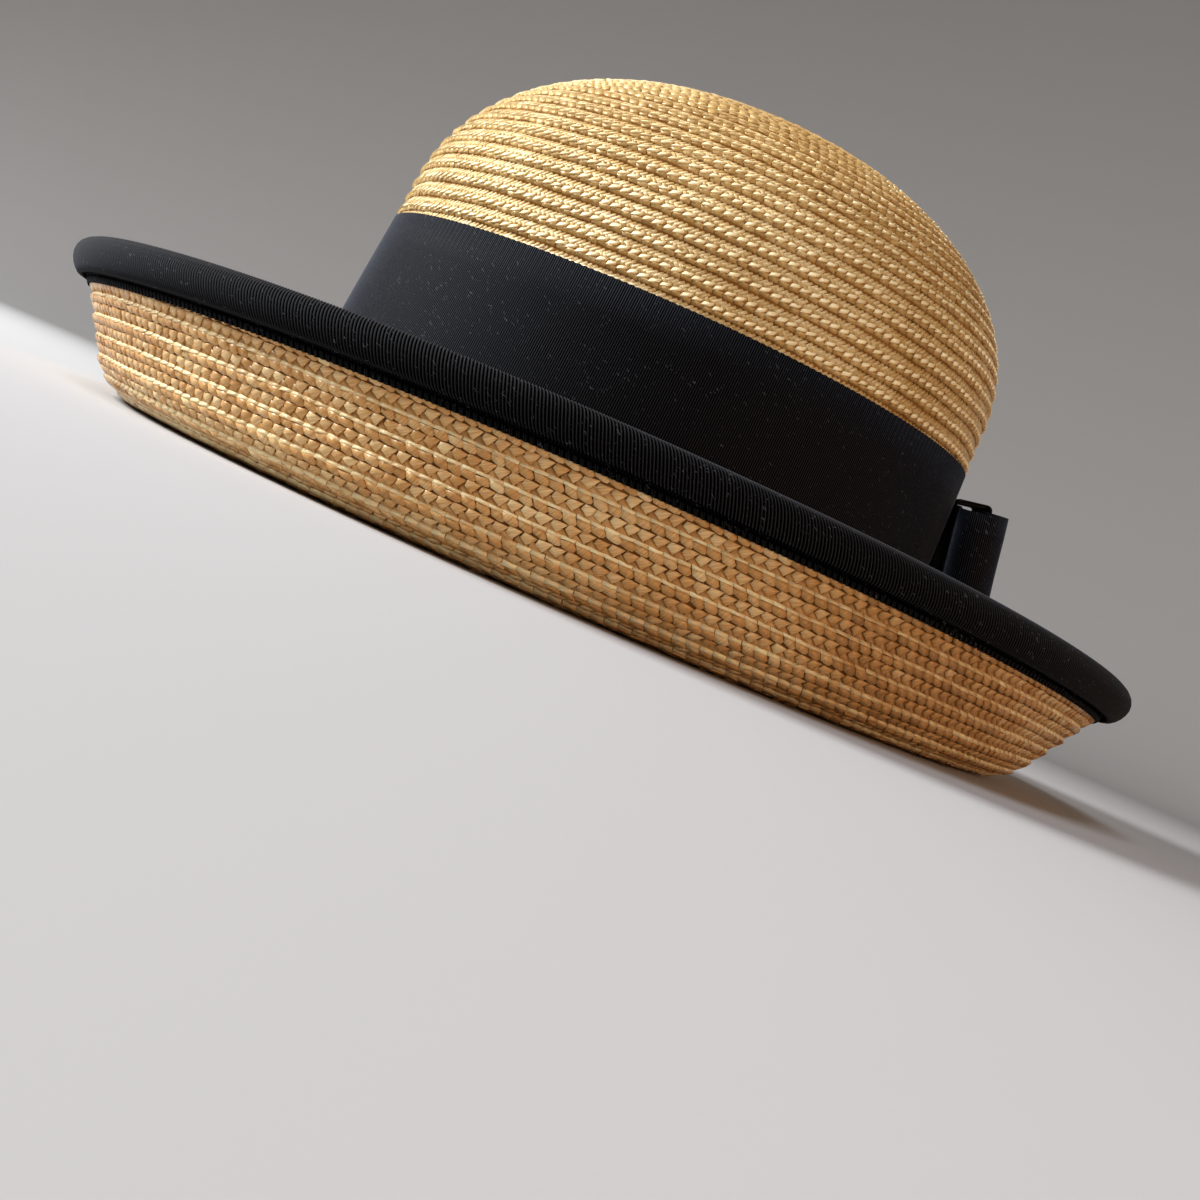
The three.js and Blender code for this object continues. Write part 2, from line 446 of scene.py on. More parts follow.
def run_along(line: np.ndarray) -> np.ndarray:
    """The distance along a line at each of its points, from 0 at the first."""
    return np.concatenate([[0], np.cumsum(np.linalg.norm(np.diff(line, axis=0), axis=1))])


def right_of(way: np.ndarray) -> np.ndarray:
    """The unit vectors to the right of directions on the flat, one row each."""
    way = way / np.linalg.norm(way, axis=1, keepdims=True)
    return np.stack([way[:, 1], -way[:, 0]], -1)


def smooth_line(points: np.ndarray, parts: int) -> np.ndarray:
    """A smooth line through points: uniform Catmull-Rom, with each end point repeated.

    Args:
        points: one row for each point.
        parts: how many stretches each gap between points is cut into.

    Returns:
        The line's points.
    """
    spans = len(points) - 1
    t = np.arange(spans * parts + 1) / parts
    i = np.minimum(t.astype(int), spans - 1)
    u = (t - i)[:, None]
    padded = np.concatenate([points[:1], points, points[-1:]])
    a, b, c, d = (padded[i + k] for k in range(4))
    return 0.5 * (2 * b + (c - a) * u + (2 * a - 5 * b + 4 * c - d) * u**2 + (3 * b - a - 3 * c + d) * u**3)


def resampled(line: np.ndarray, count: int, closed: bool = False) -> tuple[np.ndarray, float]:
    """Puts points at equal steps along a line.

    Args:
        line: the line's points; a closed one repeats its first point at its end.
        count: how many points to give.
        closed: True to leave out the last point, which is the first again.

    Returns:
        The points and the line's length.
    """
    run = run_along(line)
    at = np.linspace(0, run[-1], count, endpoint=not closed)
    return np.stack([np.interp(at, run, line[:, k]) for k in range(line.shape[1])], -1), run[-1]


@dataclass
class CrownForm:
    """The crown's outer face, by the angle round the hat and the distance down its side from its tip.

    A flattened half ball on an oval plan, whose extra length tapers towards the tip, over a wall that
    widens downwards. The distance is measured down the side, where the angle is 0.
    """

    outward: float = -1.0  # the outer face is on the far side of along x down
    foot: float = 30.3 * MM
    shoulder: float = 95.7 * MM
    dome_height: float = 64.9 * MM
    half_width: float = 81.9 * MM
    extra_half_length: float = 17.7 * MM
    flare: float = 0.067
    backwards: float = 1.54 * MM
    lean: float = 0.045
    lean_from: float = 40 * MM
    tip_taper: float = 0.45

    def __post_init__(self) -> None:
        """Measures the dome's side once."""
        self._rise = np.linspace(math.pi / 2, 0, 600)
        side = np.stack([self.half_width * np.cos(self._rise), self.dome_height * np.sin(self._rise)], -1)
        self._run = run_along(side)
        self.dome_run = float(self._run[-1])
        self.whole_run = self.run_at(self.foot)
        self.ends = (0.0, self.whole_run)

    def run_at(self, z: float) -> float:
        """The distance from the tip to a height of the straight wall."""
        return self.dome_run + (self.shoulder - z) * math.hypot(1, self.flare)

    def centre(self, z: np.ndarray) -> np.ndarray:
        """How far back the oval's middle is at a height."""
        return self.backwards + self.lean * (z - self.lean_from)

    def wall(self, z: np.ndarray, out: float = 0.0) -> tuple[np.ndarray, np.ndarray]:
        """Half the wall's width and half its length at a height, moved out."""
        half = self.half_width + self.flare * (self.shoulder - z) + out
        return half, half + self.extra_half_length

    def oval(self, angle: np.ndarray, z: np.ndarray, halves: tuple[np.ndarray, np.ndarray]) -> np.ndarray:
        """The points of ovals of these halves at angles and heights."""
        x, y = halves[0] * np.cos(angle), self.centre(z) + halves[1] * np.sin(angle)
        return np.stack(np.broadcast_arrays(x, y, z), -1)

    def point(self, angle: np.ndarray, run: np.ndarray) -> np.ndarray:
        """The points at angles and distances down from the tip.

        Args:
            angle: the angle round the hat.
            run: the distance down the side.

        Returns:
            The points. On the dome they are (w cos angle, centre + (w + e) sin angle, shoulder + h rise),
            with w the half width times the cosine of the dome's own angle, rise its sine, and e the extra
            half length times 1 - taper rise^4.
        """
        rise = np.sin(np.interp(run, self._run, self._rise))
        extra = self.extra_half_length * (1 - self.tip_taper * rise**4)
        below = np.maximum(run - self.dome_run, 0) / math.hypot(1, self.flare)
        half = self.half_width * np.sqrt(np.maximum(1 - rise**2, 0)) + self.flare * below
        z = self.shoulder + self.dome_height * rise - below
        return self.oval(angle, z, (half, half + extra))


@dataclass(frozen=True)
class BrimEnd:
    """The brim's plan at one place: its fold's distance out, its steepness past it, and its width there."""

    fold_out: float
    slope: float
    turned_up: float


@dataclass
class BrimForm:
    """The brim's underside, by the angle round the hat and the distance out along it from its fold.

    A cubic curve from the crown's foot to a narrow flat ring, a round roll and a straight wall.
    """

    crown: CrownForm
    outward: float = 1.0
    root: float = 30 * MM
    root_drop: float = 14 * MM
    fold_pull: float = 20 * MM
    rest_width: float = 2 * MM
    roll: float = 15.2 * MM
    straws_end: float = 46 * MM
    front: BrimEnd = BrimEnd(43.9 * MM, math.radians(61), 46.2 * MM)
    back: BrimEnd = BrimEnd(38.3 * MM, math.radians(56), 48.5 * MM)
    side: BrimEnd = BrimEnd(40.6 * MM, math.radians(83.7), 48.5 * MM)

    def __post_init__(self) -> None:
        """Measures the curve from the fold to the foot once, at the side."""
        self._share = np.linspace(1, 0, 200)
        self._run = run_along(np.stack(self.root_section(self.side.fold_out, self._share), -1))
        self.root_run = float(self._run[-1]) + self.rest_width
        self.ends = (-self.root_run, self.straws_end)

    def plan(self, angle: np.ndarray, name: str) -> np.ndarray:
        """A value of the plan at an angle.

        Args:
            angle: the angle round the hat.
            name: which of a BrimEnd's values.

        Returns:
            The value, between the side's and the front's or the back's by sine squared.
        """
        share = np.sin(angle) ** 2
        end = np.where(np.sin(angle) < 0, getattr(self.front, name), getattr(self.back, name))
        return end * share + getattr(self.side, name) * (1 - share)

    def root_section(self, fold_out: np.ndarray, share: np.ndarray) -> tuple[np.ndarray, np.ndarray]:
        """The curve from the crown's foot to the fold.

        Args:
            fold_out: how far out the fold lies.
            share: the share of the way from the foot to the fold.

        Returns:
            How far out and up it is: a cubic curve of four points, which leaves the foot straight down and
            meets the flat ring level.
        """
        end = fold_out - self.rest_width
        outs = (-STRAW_WALL, -STRAW_WALL, end - self.fold_pull, end)
        ups = (self.root, self.root - self.root_drop, 0.0, 0.0)
        left = 1 - share
        weights = (left**3, 3 * left**2 * share, 3 * left * share**2, share**3)
        return sum(w * p for w, p in zip(weights, outs)), sum(w * p for w, p in zip(weights, ups))

    def turn(self, angle: np.ndarray, run: np.ndarray) -> tuple[np.ndarray, np.ndarray, np.ndarray]:
        """How far out and up the underside is past its fold, and its slope there.

        Args:
            angle: the angle round the hat.
            run: the distance from the fold.

        Returns:
            Out, up and slope: round the roll until the slope is reached, then straight.
        """
        turned = np.clip(run / self.roll, 0, self.plan(angle, "slope"))
        straight = np.maximum(run - turned * self.roll, 0)
        out = self.plan(angle, "fold_out") + self.roll * np.sin(turned) + straight * np.cos(turned)
        return out, self.roll * (1 - np.cos(turned)) + straight * np.sin(turned), turned

    def placed(self, angle: np.ndarray, out: np.ndarray, up: np.ndarray) -> np.ndarray:
        """Points out from the crown's foot, square to its oval.

        Args:
            angle: the angle round the hat.
            out: how far out they are.
            up: their heights.

        Returns:
            The points.
        """
        wide, long = self.crown.wall(np.array(self.root))
        across = np.stack([np.cos(angle) / wide, np.sin(angle) / long])
        across = across / np.linalg.norm(across, axis=0)
        x = wide * np.cos(angle) + out * across[0]
        y = self.crown.centre(self.root) + long * np.sin(angle) + out * across[1]
        return np.stack(np.broadcast_arrays(x, y, up), -1)

    def point(self, angle: np.ndarray, run: np.ndarray) -> np.ndarray:
        """The points at angles and distances from the fold.

        Args:
            angle: the angle round the hat.
            run: the distance out from the fold, or in from it where that is below zero.

        Returns:
            The points: on the turned-up part, on the flat ring or on the curve to the foot.
        """
        angle, run = np.broadcast_arrays(angle, run)
        fold_out = self.plan(angle, "fold_out")
        share = np.interp(-run - self.rest_width, self._run, self._share)
        root_out, root_up = self.root_section(fold_out, share)
        out, up, _ = self.turn(angle, run)
        out = np.where(run >= 0, out, np.where(run > -self.rest_width, fold_out + run, root_out))
        up = np.where(run >= 0, up, np.where(run > -self.rest_width, 0.0, root_up))
        return self.placed(angle, out, up)


def laid(form: CrownForm | BrimForm, angle: np.ndarray, run: np.ndarray, height: np.ndarray) -> np.ndarray:
    """Points at heights over a form.

    Args:
        form: the crown or the brim.
        angle: the angles round the hat.
        run: the distances along the form's section.
        height: the distance off the form's outward face, below zero for inside it.

    Returns:
        The points, moved along the cross product of the form's two directions.
    """
    bit, least = 1e-4, 1e-15  # a small angle, whose tenth is a small distance, and the least normal
    along = form.point(angle + bit, run) - form.point(angle - bit, run)
    down = form.point(angle, run + bit / 10) - form.point(angle, run - bit / 10)
    normal = form.outward * np.cross(along, down)
    normal /= np.maximum(np.linalg.norm(normal, axis=-1, keepdims=True), least)
    return form.point(angle, run) + normal * np.asarray(height)[..., None]


class Side(Enum):
    """Which face of the straw wall the braid is seen on. On each, an edge stands proud over the next row."""

    OUTER = -1.0
    INNER = 1.0


@dataclass(frozen=True)
class Braid:
    """Flat straw braid as it lies when sewn: the row that shows, its straws and how an edge stands proud.

    Attributes:
        row: the width of a row that shows.
        stitch: how far apart the straws are along it.
        rise: how far an edge stands off the row that it covers.
        crest: the share of the row, in from its edge, at which it stands highest.
        edge: the share of the rise that the very edge has.
        turned: -1 where the braid is sewn the other way round, else 1.
        slope: the power of the slope from the crest down to nothing.
    """

    row: float
    stitch: float
    rise: float
    crest: float
    edge: float
    turned: float
    slope: float = 1.35

    def profile(self, inward: np.ndarray) -> np.ndarray:
        """How high the braid stands at a share of its row in from its edge.

        Args:
            inward: the share, 0 at the edge and 1 where the next row covers it.

        Returns:
            The height: a quarter ellipse from the edge up to the crest, then a soft slope down to nothing.
        """
        x = np.asarray(inward, float)
        near = np.clip(x / self.crest, 0, 1)
        far = np.clip((x - self.crest) / (1 - self.crest), 0, 1)
        up = self.edge + (1 - self.edge) * np.sqrt(np.clip(1 - (1 - near) ** 2, 0, 1))
        return self.rise * np.where(x < self.crest, up, 1 - far**self.slope)


@dataclass(frozen=True)
class Rows:
    """Where the rows' edges lie: rings, or one coil that moves out by a row for each turn.

    Attributes:
        first: the first edge's distance along the form, where the angle is 0.
        count: how many rows there are.
        row: the step from one to the next.
        coiled: True for a coil.
        wander: how far an edge strays from its even line.
        waves: how often each slow wave of that comes round, and its shift from row to row.
    """

    first: float
    count: int
    row: float
    coiled: bool
    wander: float
    waves: tuple[tuple[float, float], ...] = ((6, 2.1), (17, 1.3))

    def edge(self, index: np.ndarray, angle: np.ndarray) -> np.ndarray:
        """Where edges lie, each straying in waves of its own.

        Args:
            index: how many rows it is from the first one, with the share of a turn added on a coil.
            angle: the angle round the hat.

        Returns:
            The distance along the form.
        """
        stray = sum(np.sin(times * angle + shift * index) for times, shift in self.waves)
        return self.first + self.row * index + 0.5 * self.wander * stray


@dataclass(frozen=True)
class Straw:
    """The stretch of one straw that shows between those that cross it: a low cushion with a flat base.

    Attributes:
        outline: its corners in turn, along the row and in from its edge, in millimetres.
        lifted: the share of its height at each corner.
        thick: its height at the shoulder.
        crown: how much more it rises in the middle.
        inset: how far its shoulder lies inside its outline.
        grain: the way its fibres run, in degrees from the row.
        tone: its middle shade.
        loose: the share of the usual irregularity that it has.
    """

    outline: tuple[tuple[float, float], ...]
    lifted: tuple[float, ...]
    thick: float = 0.36 * MM
    crown: float = 0.0
    inset: float = 0.16 * MM
    grain: float = 0.0
    tone: float = 0.5
    loose: float = 1.0

    def faces(self) -> list[tuple[int, ...]]:
        """The straw's faces.

        Returns:
            The points of the sides, of the top, fanned from a middle point if it rises, and of the base.
        """
        n = len(self.outline)
        sides = [(i, (i + 1) % n, n + (i + 1) % n, n + i) for i in range(n)]
        if self.crown:
            top = [(n + i, n + (i + 1) % n, 2 * n) for i in range(n)]
        else:
            top = [tuple(n + i for i in range(n))]
        return [*sides, *top, tuple(range(n - 1, -1, -1))]

    def shape(self) -> tuple[np.ndarray, np.ndarray]:
        """Lays the straw's points out on the flat.

        Returns:
            How far along and inward they are, in metres, and their heights over the braid: the base sunk a
            little into it, the shoulder, and a middle point if the straw rises there.
        """
        sunk, least_shoulder = 0.15 * MM, 0.3
        outer = np.array(self.outline) * MM
        middle = outer.mean(axis=0)
        reach = np.linalg.norm(outer - middle, axis=1, keepdims=True)
        inner = middle + (outer - middle) * np.maximum(1 - self.inset / reach, least_shoulder)
        lifted = np.array(self.lifted)
        flat, heights = [outer, inner], [np.full(len(outer), -sunk), self.thick * lifted]
        if self.crown:
            flat.append(middle[None])
            heights.append(np.array([self.thick * lifted.mean() + self.crown]))
        return np.concatenate(flat), np.concatenate(heights)


def oblong(
    middle: tuple[float, float], half: tuple[float, float], tilt: float
) -> tuple[tuple[float, float], ...]:
    """A plain oblong straw's outline, turned on its row.

    Args:
        middle: its middle, along the row and in from its edge, in millimetres.
        half: half its length and half its width.
        tilt: how far it is turned, in degrees, towards the edge.

    Returns:
        Its corners along the row and in from its edge.
    """
    u, v = np.array(half)[:, None] * ((1, -1, -1, 1), (1, 1, -1, -1))
    a = math.radians(tilt)
    along = middle[0] + u * math.cos(a) - v * math.sin(a)
    inward = middle[1] - u * math.sin(a) - v * math.cos(a)
    return tuple(zip(along.tolist(), inward.tolist()))


# The straws of one stitch of the brim's braid: the fold's lit rim, its face, and the two that cross below.
BRIM_STRAWS = (
    Straw(
        outline=((-1.75, -0.45), (1.75, -0.36), (1.82, 0.4), (-1.66, 0.4)),
        lifted=(-0.25, -0.25, 0.95, 1.15),
        inset=0.04 * MM,
        # Painted highlight: the rim's tone is paler than the face's, on top of the light that its bevel
        # catches.
        tone=0.75,
        loose=0.5,
    ),
    Straw(
        outline=((-1.63, 0.33), (1.82, 0.3), (2.8, 1.6), (2.3, 2.4), (1.3, 2.55), (-0.72, 2.0)),
        lifted=(1.1, 0.85, 0.6, 0.65, 0.9, 1.0),
        inset=0.09 * MM,
        grain=62,
        tone=0.46,
        loose=1.15,
    ),
    Straw(
        outline=((0.5, 3.95), (1.0, 2.5), (4.5, 2.6), (2.45, 5.35)),
        lifted=(1.1, 0.9, 0.4, 1.1),
        crown=0.05 * MM,
        inset=0.1 * MM,
        grain=30,
        tone=0.54,
        loose=1.15,
    ),
    Straw(
        outline=((0.0, 3.6), (2.9, 5.15), (2.9, 6.1), (-0.65, 6.1), (-0.75, 4.7)),
        lifted=(0.3, 0.9, 0.8, 0.8, 0.7),
        thick=0.14 * MM,
        inset=0.08 * MM,
        grain=-30,
        # Painted shade: this lower straw is darker, for the shadow in the groove above the next row's rim.
        tone=0.33,
        loose=1.15,
    ),
)
# Those of the crown's finer braid: under the rounded edge, the raised tooth, paler as a painted highlight,
# and four small ones over it.
CROWN_STRAWS = (
    Straw(
        outline=((-1.55, 0.04), (1.5, 0.02), (1.8, 1.0), (-1.25, 1.2)),
        lifted=(0.5, 0.5, 1.0, 1.0),
        thick=0.16 * MM,
        inset=0.08 * MM,
        grain=70,
        tone=0.45,
        loose=1.2,
    ),
    Straw(
        outline=((-1.4, 2.85), (-0.8, 1.45), (0.7, 0.85), (2.0, 0.65), (1.5, 2.05)),
        lifted=(0.3, 0.9, 1.0, 0.9, 0.5),
        thick=0.48 * MM,
        crown=0.05 * MM,
        inset=0.15 * MM,
        grain=25,
        # Painted highlight: the tooth is paler than the other straws, for the glint on the rows' crests.
        tone=0.9,
        loose=1.2,
    ),
    *(
        Straw(
            outline=oblong((middle + shift, inward), (half, wide), tilt),
            lifted=(0.6, 0.9, 1.0, 0.8),
            thick=thick * MM,
            inset=0.1 * MM,
            grain=tilt,
            tone=tone,
            loose=1.2,
        )
        for middle, inward, half, wide, tilt, thick, tone in (
            (1.0, 2.75, 1.15, 0.55, -42, 0.17, 0.5),
            (0.1, 3.7, 1.3, 0.52, 42, 0.23, 0.64),
        )
        for shift in (0.0, 1.55)
    ),
)
# Plainer ones for the faces that are seldom seen.
PLAIN_STRAWS = (
    Straw(
        outline=((-1.8, 0.0), (1.7, 0.0), (2.1, 2.5), (-1.1, 2.1)),
        lifted=(1.0, 0.95, 0.6, 0.85),
        thick=0.3 * MM,
        grain=62,
        tone=0.55,
    ),
    Straw(
        outline=oblong((1.85, 4.1), (2.2, 1.25), 36),
        lifted=(0.9, 0.8, 0.7, 0.9),
        thick=0.22 * MM,
        grain=36,
        tone=0.45,
    ),
)


@dataclass(frozen=True)
class Scatter:
    """How much straws differ from each other, as standard deviations.

    Attributes:
        turn: of their turn.
        swell: of their size, as a share.
        shift: of their place; crossing is the share of it that goes across the row.
        tilt: of their slope.
        lift: of their height.
        tone: of their shade.
    """

    turn: float = 0.05
    swell: float = 0.04
    shift: float = 0.09 * MM
    crossing: float = 0.6
    tilt: float = 0.04
    lift: float = 0.03 * MM
    tone: float = 0.06


@dataclass(frozen=True)
class Weave:
    """Braid laid on a form: it builds the stepped shell's face and the straws on it.

    Attributes:
        form: the crown or the brim.
        rows: where the edges lie.
        braid: the braid.
        side: which face of the wall it shows on.
        pressed_from: how far along the form a ribbon starts to press the braid flat, if one does.
        press: the share of its height that the braid loses there.
        press_within: how far it takes to do so.
        scatter: how much the straws differ.
    """

    form: CrownForm | BrimForm
    rows: Rows
    braid: Braid
    side: Side
    pressed_from: float = math.inf
    press: float = 0.75
    press_within: float = 2 * MM
    scatter: Scatter = Scatter()

    def height(self, over: np.ndarray, run: np.ndarray) -> np.ndarray:
        """The distance off the form's outward face of a point this far over the wall's own face.

        Args:
            over: how far over its face the braid would stand.
            run: the distance along the form.

        Returns:
            The distance, with the braid let down where it is pressed.
        """
        over = over * (1 - self.press * np.clip((run - self.pressed_from) / self.press_within, 0, 1))
        return over if self.side is Side.OUTER else -STRAW_WALL - over

    def bed(self, columns: int) -> np.ndarray:
        """The wall's face in steps, row by row.

        Args:
            columns: how many columns go round the hat.

        Returns:
            Points by column, then row. In each row of braid they are at fixed shares in from its edge, at
            the braid's profile, and past the form's ends they fall on them.
        """
        under, plain_end = 0.05 * MM, 0.2 * MM  # below the straws' own bed, and without braid at the ends
        slope_at = 0.55
        shares = np.array([1.0, slope_at, self.braid.crest, 0.0])
        if self.side is Side.INNER:
            shares = shares[::-1]
        index = np.arange(-1, self.rows.count + 2)
        turned = TURN * np.arange(columns + 1)[:, None, None] / columns
        edge = self.rows.edge(index[None, :, None] + turned / TURN * self.rows.coiled, turned)
        run = edge + self.side.value * shares * self.rows.row
        over = np.broadcast_to(self.braid.profile(shares), run.shape) - under
        low, high = self.form.ends
        inside = (run > low + plain_end) & (run < high - plain_end)
        run = np.clip(run, low, high).reshape(columns + 1, -1)
        over = np.where(inside, over, 0.0).reshape(columns + 1, -1)
        angle = np.broadcast_to(turned[:, :, 0], run.shape)
        return laid(self.form, angle, run, self.height(over, run))

    def stitches(self, span: tuple[float, float]) -> tuple[np.ndarray, np.ndarray]:
        """Where the stitches lie: at equal steps of each row's length.

        Args:
            span: the distances along the form between which their row's edge is.

        Returns:
            The angle of each, and how far along the form its row's edge is.
        """
        columns, seen_at, offset = 320, 0.4, 0.37  # a turn's, and shares of a row and of a stitch
        rows = self.rows
        spans = [(-1, rows.count)] if rows.coiled else [(k, k + 1) for k in range(rows.count)]
        steps, edges = [], []
        for k, (start, end) in enumerate(spans):
            turned = np.linspace(start, end, columns * (end - start) + 1) * TURN
            edge = rows.edge(turned / TURN if rows.coiled else start, turned)
            run = run_along(self.form.point(turned, edge + self.side.value * seen_at * rows.row))
            count = round(run[-1] / self.braid.stitch)
            at = (np.arange(count) + 0.5 + offset * k) % count / count * run[-1]
            steps.append(np.interp(at, run, turned))
            edges.append(np.interp(at, run, edge))
        step, edge = np.concatenate(steps), np.concatenate(edges)
        kept = (edge > span[0]) & (edge < span[1])
        return step[kept], edge[kept]

    def straws(self, straw: Straw, seed: int, span: tuple[float, float]) -> Surface:
        """The same straw of each stitch, laid along the rows.

        Args:
            straw: the straw.
            seed: what its small irregularities are drawn from.
            span: the distances along the form between which the stitches are.

        Returns:
            The straws as one surface. Each one's outline is laid on the form by its own distance along and
            in from the edge, and each is moved, turned, swelled and tilted a little at random.
        """
        dice = np.random.default_rng(seed)
        scatter, loose = self.scatter, straw.loose
        step, edge = self.stitches(span)
        flat, heights = straw.shape()
        n = len(step)
        middle = flat.mean(axis=0)
        spin = dice.normal(0, scatter.turn * loose, (n, 1))
        swell = 1 + dice.normal(0, scatter.swell * loose, (n, 1, 2))
        shift = dice.normal(0, scatter.shift * loose, (n, 1, 2))
        away = (flat - middle) * swell
        along = away[..., 0] * np.cos(spin) - away[..., 1] * np.sin(spin) + middle[0] + shift[..., 0]
        inward = away[..., 0] * np.sin(spin) + away[..., 1] * np.cos(spin) + middle[1]
        inward = inward + shift[..., 1] * scatter.crossing
        tilt = dice.normal(0, scatter.tilt * loose, (n, 1, 2))
        over = heights + dice.normal(0, scatter.lift * loose, (n, 1)) + (away * tilt).sum(axis=-1)
        points = self.placed(step, edge, along, inward, over)
        faces = straw.faces()
        wound = sum(signed_volume(points[:1].reshape(-1, 3), np.array([face])) for face in faces)
        ordered = [face[::-1] if wound < 0 else face for face in faces]
        template = np.concatenate([np.array(face) for face in ordered])
        grain = math.radians(straw.grain)
        fibre = flat[:, 0] * math.cos(grain) - flat[:, 1] * math.sin(grain)
        cross = flat[:, 0] * math.sin(grain) + flat[:, 1] * math.cos(grain)
        strand = np.stack([fibre, cross], -1)[None] + dice.uniform(0, 1, (n, 1, 2))
        tone = np.clip(dice.normal(straw.tone, scatter.tone, n), 0, 1)
        return Surface(
            points.reshape(-1, 3),
            (template[None] + (np.arange(n) * len(flat))[:, None]).ravel(),
            np.tile([len(face) for face in ordered], n),
            strand.reshape(-1, 2),
            np.repeat(tone, len(flat)),
            np.tile(np.arange(len(faces)) >= len(straw.outline), n),
        )

    def placed(
        self, step: np.ndarray, edge: np.ndarray, along: np.ndarray, inward: np.ndarray, over: np.ndarray
    ) -> np.ndarray:
        """Lays the points of stitches on the form.

        Args:
            step: each stitch's angle.
            edge: how far along the form its row's edge is.
            along: how far each of its points is along the row.
            inward: how far each is in from the edge.
            over: how far each is over the braid.

        Returns:
            The points, one row for each stitch.
        """
        small, least_reach = 1e-4, 3 * MM  # an angle, and the radius at which straws stop fanning out
        ahead = self.form.point(step + small, edge) - self.form.point(step, edge)
        reach = np.maximum(np.linalg.norm(ahead, axis=1) / small, least_reach)
        onward = self.braid.turned * along / reach[:, None]
        coil = self.rows.row / TURN * self.rows.coiled
        at = np.clip(edge[:, None] + coil * onward + self.side.value * inward, *self.form.ends)
        over = over + self.braid.profile(inward / self.braid.row)
        return laid(self.form, step[:, None] + onward, at, self.height(over, at))

    def covering(
        self, straws: tuple[Straw, ...], seed: int, low: float = -math.inf, high: float = math.inf
    ) -> Surface:
        """Every straw of the stitches between two distances along the form.

        Args:
            straws: a stitch's straws.
            seed: what the first one's irregularities are drawn from; the next ones count on from it.
            low, high: the distances.

        Returns:
            The straws as one surface.
        """
        return Surface.joined([self.straws(straw, seed + k, (low, high)) for k, straw in enumerate(straws)])


def stepped_shell(outer: Weave, inner: Weave, columns: int) -> Surface:
    """Closes the two stepped faces of a straw wall to one shell.

    Args:
        outer: the outer face's weave.
        inner: the inner face's.
        columns: how many columns go round the hat.

    Returns:
        The shell: down the outer face and back up the inner one, with the columns left unjoined. Its shade
        is even and its strand places go by a steady step for each column and row.
    """
    # The shell's even tone of 0.4 is a little dark: with the bed's colours it is painted shade between the
    # straws and in the grooves.
    tone, column_step, row_step = 0.4, 4 * MM, 1.4 * MM
    around = np.concatenate([outer.bed(columns), inner.bed(columns)[:, ::-1]], axis=1)
    columns, rows = around.shape[:2]
    quads = grid_quads(columns, rows, (columns - 1, rows))
    flat = around.reshape(-1, 3)
    if signed_volume(flat, quads) < 0:
        quads = quads[:, ::-1]
    along, down = np.arange(columns) * column_step, np.arange(rows) * row_step
    strand = np.stack([np.repeat(along, rows), np.tile(down, columns)], -1)
    sizes = np.full(len(quads), 4)
    return Surface(flat, quads.ravel(), sizes, strand, np.full(len(flat), tone), np.full(len(sizes), True))


def seam(piece: bpy.types.Object) -> None:
    """Joins points that lie on each other and drops the faces that this leaves flat.

    Args:
        piece: the object whose mesh is seamed.
    """
    together, flat = 1e-6, 1e-7
    work = bmesh.new()
    work.from_mesh(piece.data)
    bmesh.ops.remove_doubles(work, verts=work.verts, dist=together)
    bmesh.ops.dissolve_degenerate(work, edges=work.edges, dist=flat)
    work.to_mesh(piece.data)
    work.free()


